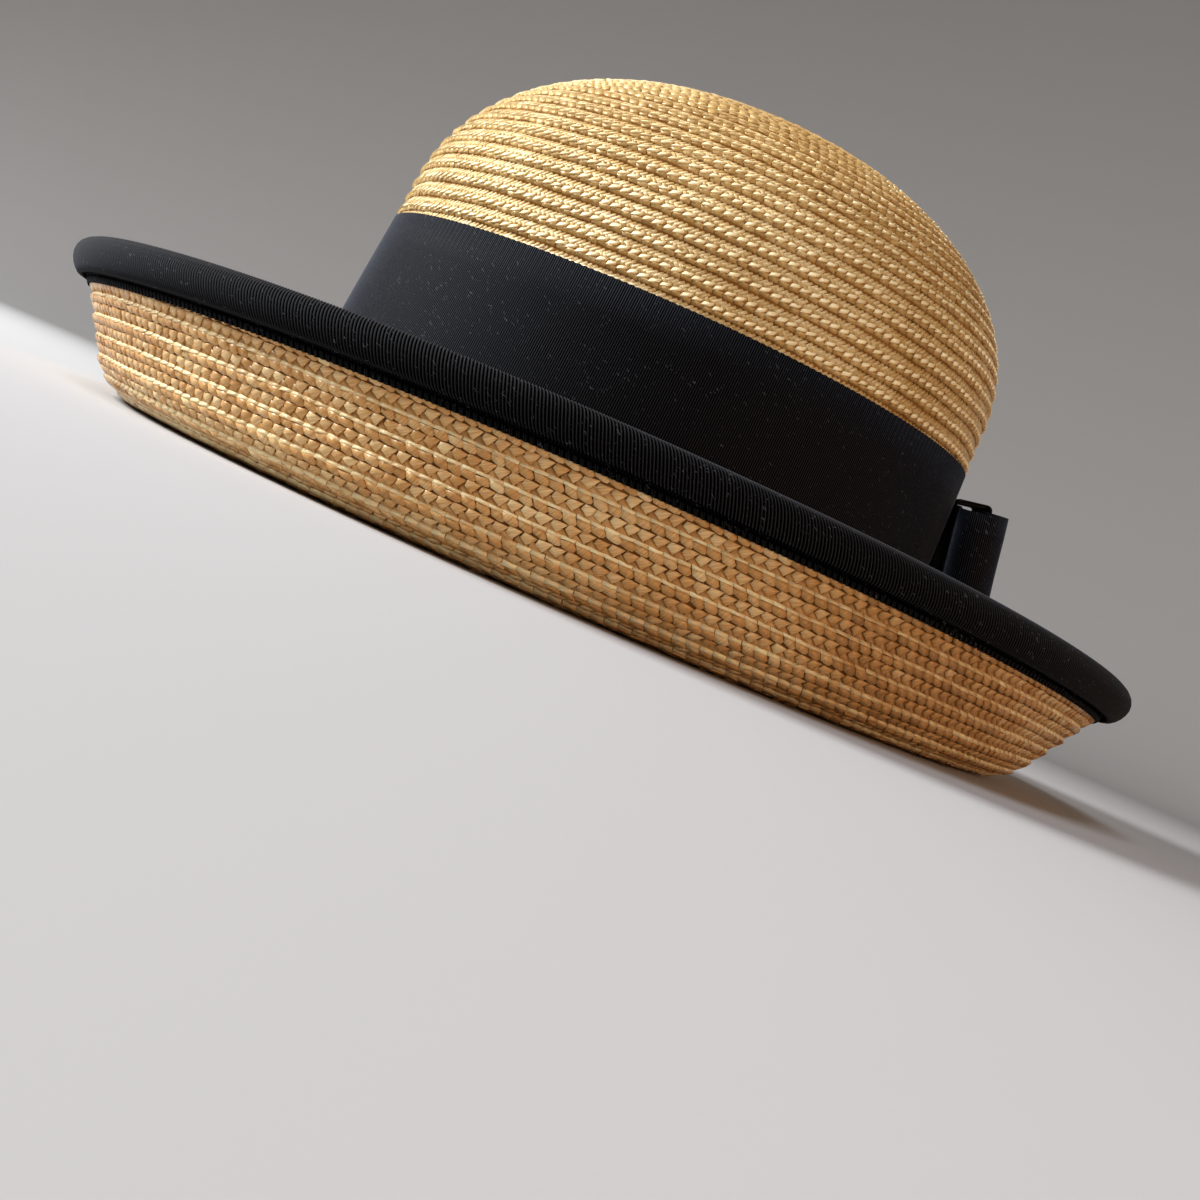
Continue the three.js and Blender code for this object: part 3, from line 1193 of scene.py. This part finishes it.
@dataclass(frozen=True)
class StrawBody:
    """The hat's straw: its crown and its brim, each a stepped shell with its straws."""

    crown_braid: Braid = Braid(4.9 * MM, 3.1 * MM, rise=0.92 * MM, crest=0.21, edge=0.2, turned=-1.0)
    brim_braid: Braid = Braid(5.72 * MM, 3.5 * MM, rise=0.9 * MM, crest=0.17, edge=0.35, turned=1.0)
    crown_wander: float = 0.22 * MM
    brim_wander: float = 0.14 * MM
    inner_stitch: float = 4 * MM
    crown_columns: int = 90
    brim_columns: int = 120
    groove: float = 84.7 * MM  # the height of one of the crown's edges, at the side
    press_ahead: float = 1.5 * MM  # how far above the band the braid starts to be pressed
    tip: float = 0.5 * MM  # rows closer than this to the tip's middle have no straws
    split: float = 0.62  # where the crown's upper piece of straws ends and its lower one starts
    hidden_below: float = 77 * MM  # the height under which the band hides the braid
    foot_from: float = 38 * MM  # the height under which plain straws fill in again at the crown's foot
    upturn_edge: float = 34.6 * MM  # how far one of the brim's edges lies from the fold
    bound_from: float = 42 * MM  # how far out the binding hides the brim's rows
    under_rows: float = 1.5  # how many rows in from the fold show the brim's full braid

    def crown(self, form: CrownForm) -> list[bpy.types.Object]:
        """Builds the crown.

        Args:
            form: its shape.

        Returns:
            Its pieces, dressed.
        """
        row = self.crown_braid.row
        groove = form.run_at(self.groove)
        before = int(groove / row)
        count = int((form.whole_run - groove) / row) + before + 1
        rows = Rows(groove - before * row, count, row, True, self.crown_wander)
        pressed = form.run_at(HatBand.top) - self.press_ahead
        outer = Weave(form, rows, self.crown_braid, Side.OUTER, pressed)
        inner = Weave(form, rows, replace(self.crown_braid, stitch=self.inner_stitch), Side.INNER)
        finish = StrawFinish("wheat_straw_crown", "855824", "c3a164", "fff0c2").material()
        # Painted shade: the bed's darker colours stand for the shade in the gaps between straws and in the
        # grooves under the rows' edges.
        bed = StrawFinish("wheat_straw_painted_shade", "64431a", "a57538", "c79d58", roughness=0.8, coat=0.0)
        shell = stepped_shell(outer, inner, self.crown_columns).make("crown_shell", bed.material())
        seam(shell)
        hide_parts("crown")
        stop = form.run_at(self.hidden_below)
        half = self.split * stop
        top = outer.covering(CROWN_STRAWS, 11, self.tip, half)
        low = outer.covering(CROWN_STRAWS, 21, half, stop)
        foot = outer.covering(PLAIN_STRAWS, 27, form.run_at(self.foot_from))
        inside = StrawFinish("wheat_straw_inside", "7c5220", "c1934f", "e2c288").material()
        made = [
            shell,
            top.make("crown_straws_top", finish),
            Surface.joined([low, foot]).make("crown_straws_low", finish),
            inner.covering(PLAIN_STRAWS, 31).make("crown_straws_inside", inside),
        ]
        return made

    def brim(self, form: BrimForm) -> list[bpy.types.Object]:
        """Builds the brim.

        Args:
            form: its shape.

        Returns:
            Its pieces, dressed.
        """
        row = self.brim_braid.row
        before = int((self.upturn_edge + form.root_run) / row)
        rows = Rows(self.upturn_edge - before * row, before + 2, row, False, self.brim_wander)
        outer = Weave(form, rows, self.brim_braid, Side.OUTER)
        rows = replace(rows, first=rows.first - row, count=rows.count + 1)
        inner = Weave(form, rows, self.brim_braid, Side.INNER)
        finish = StrawFinish("wheat_straw_brim", "643c18", "be8b4d", "fff0bc").material()
        # Painted shade: the bed's darker colours stand for the shade in the gaps between straws and in the
        # grooves under the rows' edges.
        bed = StrawFinish("wheat_straw_brim_painted_shade", "38200a", "643c14", "8a5c28", roughness=0.8, coat=0.0)
        shell = stepped_shell(outer, inner, self.brim_columns).make("brim_shell", bed.material())
        seam(shell)
        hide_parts("brim")
        low, fold = form.ends[0], -self.under_rows * row
        made = [
            shell,
            outer.covering(BRIM_STRAWS, 41, fold, self.bound_from).make("brim_straws_upturn", finish),
            outer.covering(PLAIN_STRAWS, 51, low, fold).make("brim_straws_underside", finish),
            inner.covering(PLAIN_STRAWS, 61, low - row, self.bound_from).make("brim_straws_trough", finish),
        ]
        return made


def ribbed(columns: int) -> np.ndarray:
    """A ribbon's ribs by column: 1 on a rib's back and 0 between two, two columns to a rib."""
    return 1.0 - np.arange(columns) % 2


@dataclass(frozen=True)
class HatBand:
    """The wide ribbon round the crown: an oval strip with its ribs upright."""

    bottom: float = 31.5 * MM
    top: float = 83 * MM
    front_rise: float = 1.6 * MM  # how much higher it reaches in front
    rib: float = 0.62 * MM
    rib_depth: float = 0.13 * MM
    picot: float = 0.12 * MM
    length: float = 0.6
    once: float = 0.977  # the share of its length that goes round once
    edge_wall: float = 0.85  # the share of its wall at its edges
    bulge: float = 0.15  # and what its middle has more
    stations: int = 6

    def build(self, crown: CrownForm, cloth: bpy.types.Material) -> bpy.types.Object:
        """Builds the band.

        Args:
            crown: the crown that it lies on.
            cloth: its finish.

        Returns:
            The piece. Its section goes up the outer face, whose radius takes the ribs as a triangle wave of
            one rib to two columns, and down the inner face; every third rib reaches a little past the edge.
        """
        columns = 6 * round(self.length * self.once / self.rib / 3)
        angle = TURN * np.arange(columns) / columns
        wave = ribbed(columns) - 0.5
        picot = self.picot * np.cos(TURN * np.arange(columns) / 6)
        share = np.concatenate([np.linspace(0, 1, self.stations), [1.0, 0.0]])
        face = np.array([1.0] * self.stations + [0.0, 0.0])
        raised = self.front_rise * np.clip(-np.sin(angle), 0, 1) ** 3
        top = self.top + raised + picot
        z = self.bottom + (top[:, None] - self.bottom) * share
        rounded = RIBBON_WALL * face * (self.edge_wall + self.bulge * np.sin(math.pi * share))
        out = GAP + rounded + self.rib_depth * wave[:, None] * face
        points = crown.oval(angle[:, None], z, crown.wall(z, out))
        along = np.broadcast_to(angle[:, None] / TURN * self.length, z.shape)
        strand = np.stack([along, z], -1)
        made = closed_grid(points, strand, wave[:, None] + 0.5).make("hat_band_ribbon", cloth)
        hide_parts("hat_band")
        return made


@dataclass(frozen=True)
class Binding:
    """The ribbon bound over the brim's edge: a puffed bead with a stitched flange below it outside."""

    # The ribbon's face in section, out from the brim's underside and along it past the edge, in millimetres.
    face: tuple[tuple[float, float], ...] = (
        *((1.5, -9.0), (1.7, -7.7), (1.2, -6.4), (2.4, -6.2), (3.9, -5.2), (4.5, -2.6)),
        *((4.0, 0.4), (2.1, 2.5), (-0.8, 3.0), (-3.0, 1.5), (-3.8, -1.4), (-3.4, -8.5)),
    )
    # Painted shade on the ribs along the face, by distance in millimetres: a little at the stitched foot,
    # deep in the crease under the bead.
    shade: tuple[tuple[float, ...], ...] = ((0.0, 1.5, 2.0, 3.6, 4.8), (0.85, 0.85, 0.2, 0.2, 1.0))
    around: float = 1.03  # the way round the brim's edge
    length: float = 1.05  # the ribbon's own, with its overlap
    rib: float = 0.92 * MM
    rib_depth: float = 0.5 * MM
    lean: float = 0.42  # how far along the edge the ribs lean for each step across it
    paired: float = 0.85  # how far the ribs of a pair move together at the flange's foot, in columns
    notch: float = 0.15 * MM  # how far a pair's stitch draws the foot's edge out
    foot: float = 3 * MM  # the face's stretch at the flange's foot
    foot_depth: float = 0.5  # the share of the ribs' depth there
    trough: float = 9 * MM  # the face's stretch in the brim's trough
    trough_depth: float = 0.6  # and the share there
    puffs: tuple[float, float] = (0.02, 0.015)  # the shares of its two slow swellings round the brim
    parts: int = 2
    wall: float = 0.8 * MM

    def build(self, brim: BrimForm, cloth: bpy.types.Material) -> bpy.types.Object:
        """Builds the binding.

        Args:
            brim: the brim that it is bound to.
            cloth: its finish.

        Returns:
            The piece. Its section goes along the face and back on a line one wall inside it. The face
            takes the ribs as a triangle wave, pairs of ribs meet at the flange's foot, and its edge is
            scalloped by each pair.
        """
        face = smooth_line(np.array(self.face) * MM, self.parts)
        normal = right_of(np.gradient(face, axis=0))
        line = run_along(face)
        back = slice(None, None, -4)
        inner = (face - normal * self.wall)[back]
        columns = 4 * round(self.around / self.rib / 2)
        column = np.arange(columns)[:, None]
        wave = ribbed(columns)[:, None] - 0.5
        foot = np.clip(1 - line / self.foot, 0, 1)
        pair = np.array([self.paired, 0.0, -self.paired, 0.0])[column % 4]
        lean = self.lean * TURN / self.around * line
        angle = TURN * (column + pair * foot) / columns - lean
        deep = np.where(line > line[-1] - self.trough, self.trough_depth, 1.0)
        depth = self.rib_depth * np.where(line < self.foot, self.foot_depth, deep)
        puff = 1 + self.puffs[0] * np.sin(7 * angle) + self.puffs[1] * np.sin(17 * angle + 1)
        out = face[:, 0] * puff + normal[:, 0] * depth * wave
        along = face[:, 1] + normal[:, 1] * depth * wave
        along = along - self.notch * (pair != 0) * foot
        inner_out, inner_along = (np.broadcast_to(inner[:, k], (columns, len(inner))) for k in (0, 1))
        out = np.concatenate([out, inner_out], 1)
        along = np.concatenate([along, inner_along], 1)
        angle = np.concatenate([angle, TURN * column / columns - lean[back]], 1)
        base_out, base_up, slope = brim.turn(angle, brim.plan(angle, "turned_up"))
        points = brim.placed(
            angle,
            base_out + np.cos(slope) * along + np.sin(slope) * out,
            base_up + np.sin(slope) * along - np.cos(slope) * out,
        )
        across = np.concatenate([line, line[back]])
        strand = np.stack(np.broadcast_arrays(angle / TURN * self.length, across), -1)
        # Painted shade: the tone is darkened along the face, most in the crease that the bead overhangs.
        shade = np.interp(across, np.array(self.shade[0]) * MM, self.shade[1])
        made = closed_grid(points, strand, (wave + 0.5) * shade).make("brim_binding_ribbon", cloth)
        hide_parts("brim_binding")
        return made


@dataclass(frozen=True)
class Bow:
    """The flat bow: two ribbon loops and the ribbon wrapped round their middle, hung on the band's back."""

    top: float = 77 * MM
    tilt: float = math.radians(11)
    height: float = 37.5 * MM
    below: float = 0.9 * MM
    droop: float = 0.1
    reach: float = 44 * MM  # the loops' own, sideways
    puff: float = 0.5 * MM
    rib: float = 0.62 * MM
    rib_depth: float = 0.12 * MM
    stations: int = 7
    edge_power: float = 8  # how close to its edges the ribbon thins
    edge_wall: float = 0.55  # the share of its wall there
    bulge: float = 0.35  # and what its middle has more
    edge_ribs: float = 0.4  # the share of the ribs' depth there
    corner_points: int = 7
    # The knot's ring from the side: how far out its two faces are, its top, its bottom, its corners' radius.
    knot_ring: tuple[float, ...] = (1.0 * MM, 13.1 * MM, 0.1 * MM, -40.1 * MM, 1.6 * MM)
    knot_half: float = 9 * MM
    knot_stations: int = 13
    pleats_from: float = 9 * MM  # how far out its front starts
    pleat: float = 0.5 * MM
    pleats_within: float = 4 * MM  # how far they take to reach their depth
    pleats: float = 0.75  # how many waves they make from the middle to an edge
    # A loop's middle line seen from above, sideways and out from the band, in millimetres.
    line: tuple[tuple[float, float], ...] = (
        *((0.7, 2.3), (9, 2.3), (20, -0.8), (34, -5.2), (42.5, -4.6), (44.5, 1)),
        *((40, 6.9), (32, 10.2), (20, 11.5), (9, 11.5), (0.7, 11.4)),
    )

    def placed(self, points: np.ndarray, crown: CrownForm) -> np.ndarray:
        """Hangs the bow on the band's back.

        Args:
            points: its points, from its own top, sideways, out and up.
            crown: the crown that carries it.

        Returns:
            The points, turned by the bow's tilt and moved to its top.
        """
        z = np.array(self.top)
        back = float(crown.centre(z) + crown.wall(z, GAP + RIBBON_WALL)[1])
        turn = np.array(Matrix.Rotation(self.tilt, 3, "X"))
        return points @ turn.T + np.array([0, back, self.top])

    def strip(self, line: np.ndarray, across: np.ndarray, closed: bool) -> tuple[np.ndarray, np.ndarray]:
        """A ribbed ribbon carried along a line, with two columns to a rib.

        Args:
            line: its middle line; a closed one repeats its first point at its end.
            across: the places of its stations across the ribbon.
            closed: True where the line is a ring.

        Returns:
            Points as (the line's two coordinates, across), by column then round the section, and their
            strand places. Both faces take the ribs as a triangle wave that dies out at the cut edges.
        """
        count = 2 * round(run_along(line)[-1] / self.rib)
        path, length = resampled(line, count, closed)
        sides = right_of(np.roll(path, -1, 0) - np.roll(path, 1, 0) if closed else np.gradient(path, axis=0))
        wave = (ribbed(count) - 0.5) * self.rib_depth
        section = np.concatenate([across, across[::-1]])
        face = np.repeat([1.0, -1.0], len(across))
        middle = 1 - (2 * (section - section.min()) / np.ptp(section) - 1) ** self.edge_power
        thick = 0.5 * (self.edge_wall + self.bulge * middle) * RIBBON_WALL * face
        off = thick + wave[:, None] * face * (self.edge_ribs + (1 - self.edge_ribs) * middle)
        flat = path[:, None, :] + sides[:, None, :] * off[..., None]
        points = np.concatenate([flat, np.broadcast_to(section, off.shape)[..., None]], -1)
        along = np.linspace(0, length, count, endpoint=not closed)
        strand = np.stack(np.broadcast_arrays(along[:, None], section), -1)
        return points, strand

    def loop(self, side: int, crown: CrownForm, cloth: bpy.types.Material) -> bpy.types.Object:
        """Builds a loop.

        Args:
            side: 1 on the wearer's left, -1 on the right.
            crown: the crown that carries it.
            cloth: its finish.

        Returns:
            The piece: the strip stood upright, drooping away from the knot, its mouth a little puffed.
        """
        across = np.linspace(-self.below - self.height, -self.below, self.stations)
        points, strand = self.strip(smooth_line(np.array(self.line) * MM, 8), across, closed=False)
        share = (points[..., 2] - across[0]) / np.ptp(across)
        reach = np.clip(points[..., 0] / self.reach, 0, 1)
        points[..., 1] += self.puff * reach**2 * np.sin(math.pi * share) * np.sin(5 * reach + side)
        points[..., 2] -= self.droop * points[..., 0]
        points[..., 0] *= side
        made = closed_grid(self.placed(points, crown), strand, ribbed(len(points))[:, None], ends=True)
        name = "left" if side > 0 else "right"
        piece = made.make(f"bow_loop_{name}_ribbon", cloth)
        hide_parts(f"bow_loop_{name}")
        return piece

    def knot(self, crown: CrownForm, cloth: bpy.types.Material) -> bpy.types.Object:
        """Builds the knot.

        Args:
            crown: the crown that carries it.
            cloth: its finish.

        Returns:
            The piece: a strip round a rounded oblong seen from the side, with two soft pleats.
        """
        inner, outer, top, bottom, corner = self.knot_ring
        turn = np.linspace(0, math.pi / 2, self.corner_points)
        middles = ((outer, bottom, -1, 1), (outer, top, -1, -1), (inner, top, 1, -1), (inner, bottom, 1, 1))
        arcs = []
        for k, (out, up, step_out, step_up) in enumerate(middles):
            centre = np.array([out + step_out * corner, up + step_up * corner])
            a = turn + (k - 1) * math.pi / 2
            arcs.append(centre + corner * np.stack([np.cos(a), np.sin(a)], -1))
        across = np.linspace(-self.knot_half, self.knot_half, self.knot_stations)
        points, strand = self.strip(np.concatenate([*arcs, arcs[0][:1]]), across, closed=True)
        front = np.clip((points[..., 0] - self.pleats_from) / self.pleats_within, 0, 1)
        points[..., 0] += self.pleat * front * np.cos(points[..., 2] / self.knot_half * self.pleats * TURN)
        points = points[..., [2, 0, 1]]
        tone = ribbed(len(points))[:, None]
        piece = closed_grid(self.placed(points, crown), strand, tone).make("bow_knot_ribbon", cloth)
        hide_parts("bow_knot")
        return piece


@dataclass(frozen=True)
class Ribbons:
    """Every ribbon on the hat, dressed."""

    def build(self, crown: CrownForm, brim: BrimForm) -> list[bpy.types.Object]:
        """Builds the band, the binding and the bow.

        Args:
            crown: the crown's shape.
            brim: the brim's shape.

        Returns:
            The pieces.
        """
        cloth = RibbonFinish("black_grosgrain", "010101", "0f1116").material()
        bound = RibbonFinish("black_binding", "010101", "0a0c10", gloss=0.7, sheen=0.05, roughness=0.95)
        band = HatBand().build(crown, cloth)
        binding = Binding().build(brim, bound.material())
        bow = Bow()
        left, right = (bow.loop(side, crown, cloth) for side in (1, -1))
        knot = bow.knot(crown, cloth)
        return [band, binding, left, right, knot]


@dataclass(frozen=True)
class Studio:
    """A seamless pale dish of paper, soft lights and the camera."""

    flat_radius: float = 1.1
    rise_radius: float = 0.9
    wall: float = 2.4
    rings: int = 12
    steps: int = 17
    columns: int = 64
    level: float = -1.5 * MM  # the lowest straws, which the hat stands on
    aim: tuple[float, float, float] = (0, 0, 70 * MM)
    place: tuple[float, float, float] = (433.76 * MM, -24.28 * MM, 16.4 * MM)
    azimuth: float = math.radians(85.22)
    elevation: float = math.radians(2.25)
    roll: float = math.radians(23.7)
    lens: float = 39.21

    def floor(self) -> bpy.types.Object:
        """Builds the dish: a disc whose rim turns up a quarter circle, as rings of one profile.

        Returns:
            The dish.
        """
        turn = np.linspace(0, math.pi / 2, self.steps)
        inner = np.linspace(0.02, 1, self.rings) * self.flat_radius
        radius = np.concatenate([inner, self.flat_radius + self.rise_radius * np.sin(turn[1:])])
        z = self.level + np.concatenate([np.zeros(self.rings), self.wall * (1 - np.cos(turn[1:]))])
        angle = TURN * np.arange(self.columns)[:, None] / self.columns
        points = np.stack(np.broadcast_arrays(radius * np.cos(angle), radius * np.sin(angle), z), -1)
        columns, rows = points.shape[:2]
        quads = grid_quads(columns, rows, (columns, rows - 1))[:, [0, 3, 2, 1]]
        corners = np.concatenate([quads.ravel(), np.arange(columns) * rows])
        sizes = np.concatenate([np.full(len(quads), 4), [columns]])
        flat = points.reshape(-1, 3)
        surface = Surface(flat, corners, sizes, flat[:, :2], np.zeros(len(flat)), np.full(len(sizes), True))
        return surface.make("floor", PaperFinish().material())

    def light(
        self,
        name: str,
        way: tuple[float, float, float],
        distance: float,
        size: float,
        watts: float,
        colour: str,
    ) -> None:
        """Adds a square soft light that faces the hat.

        Args:
            name: its name.
            way: the direction from the hat to it.
            distance: how far off it is.
            size: the length of its side.
            watts: its power.
            colour: its colour.
        """
        lamp = bpy.data.lights.new(name, "AREA")
        lamp.size, lamp.energy, lamp.color = size, watts, linear(colour)[:3]
        made = bpy.data.objects.new(name, lamp)
        way = Vector(way).normalized()
        made.location = way * distance + Vector(self.aim)
        made.rotation_euler = (-way).to_track_quat("-Z", "Y").to_euler()
        bpy.context.collection.objects.link(made)

    def lights(self) -> None:
        """Adds the lights and the even light of the room."""
        self.light("key", (0.0, -1.0, 0.5), 1.1, 0.4, 23, "fdfeff")
        self.light("overhead", (0.55, -0.4, 0.95), 1.2, 0.5, 6.8, "f0f5ff")
        self.light("side", (1.0, 0.85, 0.1), 1.2, 0.8, 6.4, "ffc48a")
        world = bpy.data.worlds.new("room")
        world.use_nodes = True
        for name, value in (("Color", linear("ffe6cc")), ("Strength", 0.14)):
            world.node_tree.nodes["Background"].inputs[name].default_value = value
        bpy.context.scene.world = world

    def camera(self) -> None:
        """Adds the camera: raised from straight down, turned by its azimuth, and rolled about its axis."""
        data = bpy.data.cameras.new("camera")
        data.lens, data.sensor_width = self.lens, 36
        data.clip_start, data.clip_end = 0.01, 20
        made = bpy.data.objects.new("camera", data)
        aimed = Matrix.Rotation(self.azimuth, 4, "Z") @ Matrix.Rotation(math.pi / 2 - self.elevation, 4, "X")
        made.matrix_world = Matrix.Translation(self.place) @ aimed @ Matrix.Rotation(self.roll, 4, "Z")
        bpy.context.collection.objects.link(made)
        bpy.context.scene.camera = made
        bpy.context.scene.view_settings.view_transform = "Standard"

    def build(self) -> None:
        """Builds the whole studio."""
        self.floor()
        self.lights()
        self.camera()


def main() -> None:
    """Loads the frame and builds the hat round it, sub-assembly by sub-assembly."""
    logging.basicConfig(level=logging.INFO, format="%(name)s: %(message)s")
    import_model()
    crown = CrownForm()
    brim = BrimForm(crown)
    Studio().build()
    body = StrawBody()
    pieces = [*body.crown(crown), *body.brim(brim), *Ribbons().build(crown, brim)]
    for piece in pieces:
        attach(piece, "root")
    logger.info("%d pieces", len(pieces))


if __name__ == "__main__":
    main()
